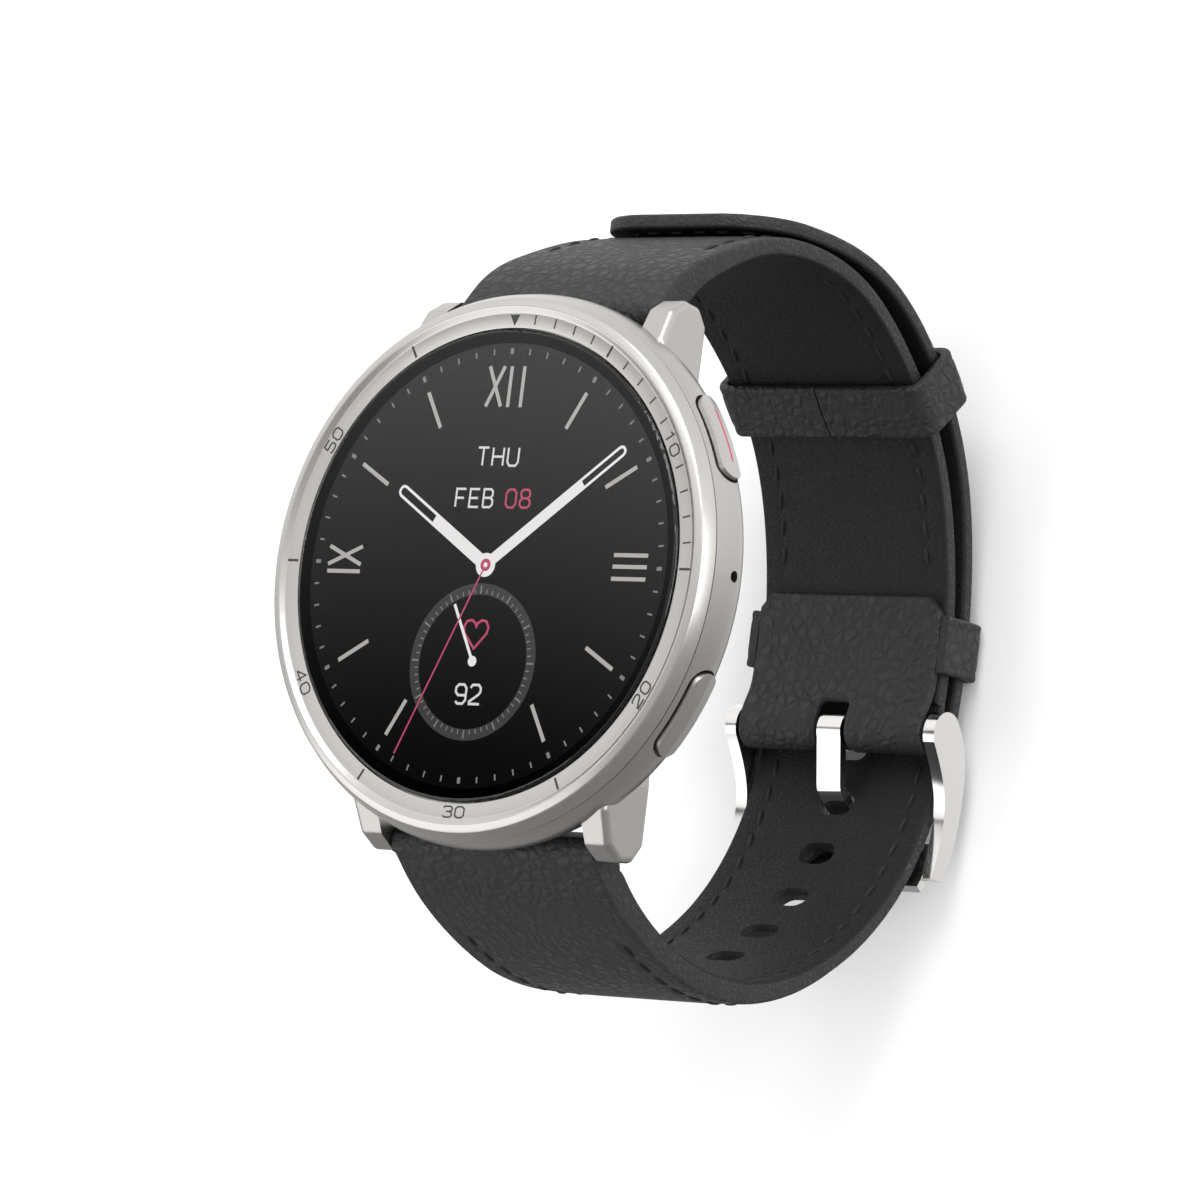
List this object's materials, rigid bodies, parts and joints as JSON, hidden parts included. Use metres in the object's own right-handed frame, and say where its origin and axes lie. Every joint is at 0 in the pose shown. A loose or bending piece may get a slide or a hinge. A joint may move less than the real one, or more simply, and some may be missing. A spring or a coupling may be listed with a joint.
{
  "type": "smartwatch",
  "caption": "Round touchscreen watch with a satin metal case, side pushers and a grained leather strap closed by a pin buckle and leather keepers.",
  "frame": {"origin": "on the surface that the closed strap loop stands on, at the point of the fixed keeper's outer face that lies under the dial's axis", "axes": "+X towards 3 o'clock, +Y towards 12 o'clock, +Z out of the dial"},
  "size_m": [0.044, 0.0631, 0.0551],
  "materials": {
    "case_metal": "satin, warm silver, brushed round the bezel",
    "pusher_metal": "satin with polished edges",
    "buckle_metal": "polished stainless steel",
    "bar_steel": "turned stainless steel",
    "cover_glass": "clear polished",
    "display": "black display stack",
    "sensor_glass": "gloss dark dome",
    "seal_rubber": "matte black",
    "black_plastic": "fine matte",
    "back_plastic": "fine matte",
    "board": "solder mask",
    "can_metal": "tinned",
    "battery_foil": "foil pouch",
    "gold_contact": "plated",
    "strap_leather": "full grain, black",
    "lining_leather": "smooth, near black",
    "padding": "fibre board filler"
  },
  "bodies": {
    "watch": {"case_middle": "case_metal", "bezel": "case_metal", "cover_glass": "cover_glass", "glass_gasket": "seal_rubber", "display_panel": "display", "display_bracket": "black_plastic", "main_board": "board", "board_shields": "can_metal", "battery": "battery_foil", "haptic_motor": "can_metal", "speaker": "black_plastic", "microphone": "can_metal", "sensor_board": "board", "back_cover": "back_plastic", "sensor_glass": "sensor_glass", "back_gasket": "seal_rubber", "back_screws": "bar_steel", "charging_pins": "gold_contact", "upper_switch": "black_plastic", "lower_switch": "black_plastic", "upper_spring_bar": "bar_steel", "lower_spring_bar": "bar_steel", "short_strap_leather": "strap_leather", "short_strap_lining": "lining_leather", "short_strap_padding": "padding", "long_strap_leather": "strap_leather", "long_strap_lining": "lining_leather", "long_strap_padding": "padding", "fixed_keeper": "strap_leather"},
    "upper_button": {"upper_pusher": "pusher_metal", "upper_pusher_seal": "seal_rubber", "upper_pusher_clip": "bar_steel"},
    "lower_button": {"lower_pusher": "pusher_metal", "lower_pusher_seal": "seal_rubber", "lower_pusher_clip": "bar_steel"},
    "upper_release": {"upper_release_tip": "bar_steel"},
    "lower_release": {"lower_release_tip": "bar_steel"},
    "keeper": {"free_keeper": "strap_leather"},
    "buckle": {"buckle_frame": "buckle_metal", "buckle_bar": "bar_steel"},
    "tongue": {"buckle_tongue": "buckle_metal"}
  },
  "joints": [
    {"name": "upper_press", "type": "slide", "parent": "watch", "child": "upper_button", "axis": [-0.8704, -0.4924, 0], "range_m": [0, 0.0004], "stiffness_N_per_m": 900, "springref_m": -0.0003},
    {"name": "lower_press", "type": "slide", "parent": "watch", "child": "lower_button", "axis": [-0.8704, 0.4924, 0], "range_m": [0, 0.0004], "stiffness_N_per_m": 900, "springref_m": -0.0003},
    {"name": "upper_tip_slide", "type": "slide", "parent": "watch", "child": "upper_release", "axis": [1, 0, 0], "range_m": [0, 0.001], "stiffness_N_per_m": 400, "springref_m": -0.0005},
    {"name": "lower_tip_slide", "type": "slide", "parent": "watch", "child": "lower_release", "axis": [1, 0, 0], "range_m": [0, 0.001], "stiffness_N_per_m": 400, "springref_m": -0.0005},
    {"name": "keeper_slide", "type": "hinge", "parent": "watch", "child": "keeper", "pos_m": [0, 0.0094, 0.0236], "axis": [1, 0, 0], "range_deg": [-8, 4]},
    {"name": "buckle_swing", "type": "hinge", "parent": "watch", "child": "buckle", "pos_m": [0, -0.0053, 0.0054], "axis": [1, 0, 0], "range_deg": [0, 2.5]},
    {"name": "tongue_swing", "type": "hinge", "parent": "buckle", "child": "tongue", "pos_m": [0, -0.0053, 0.0054], "axis": [1, 0, 0], "range_deg": [0, 2]}
  ]
}
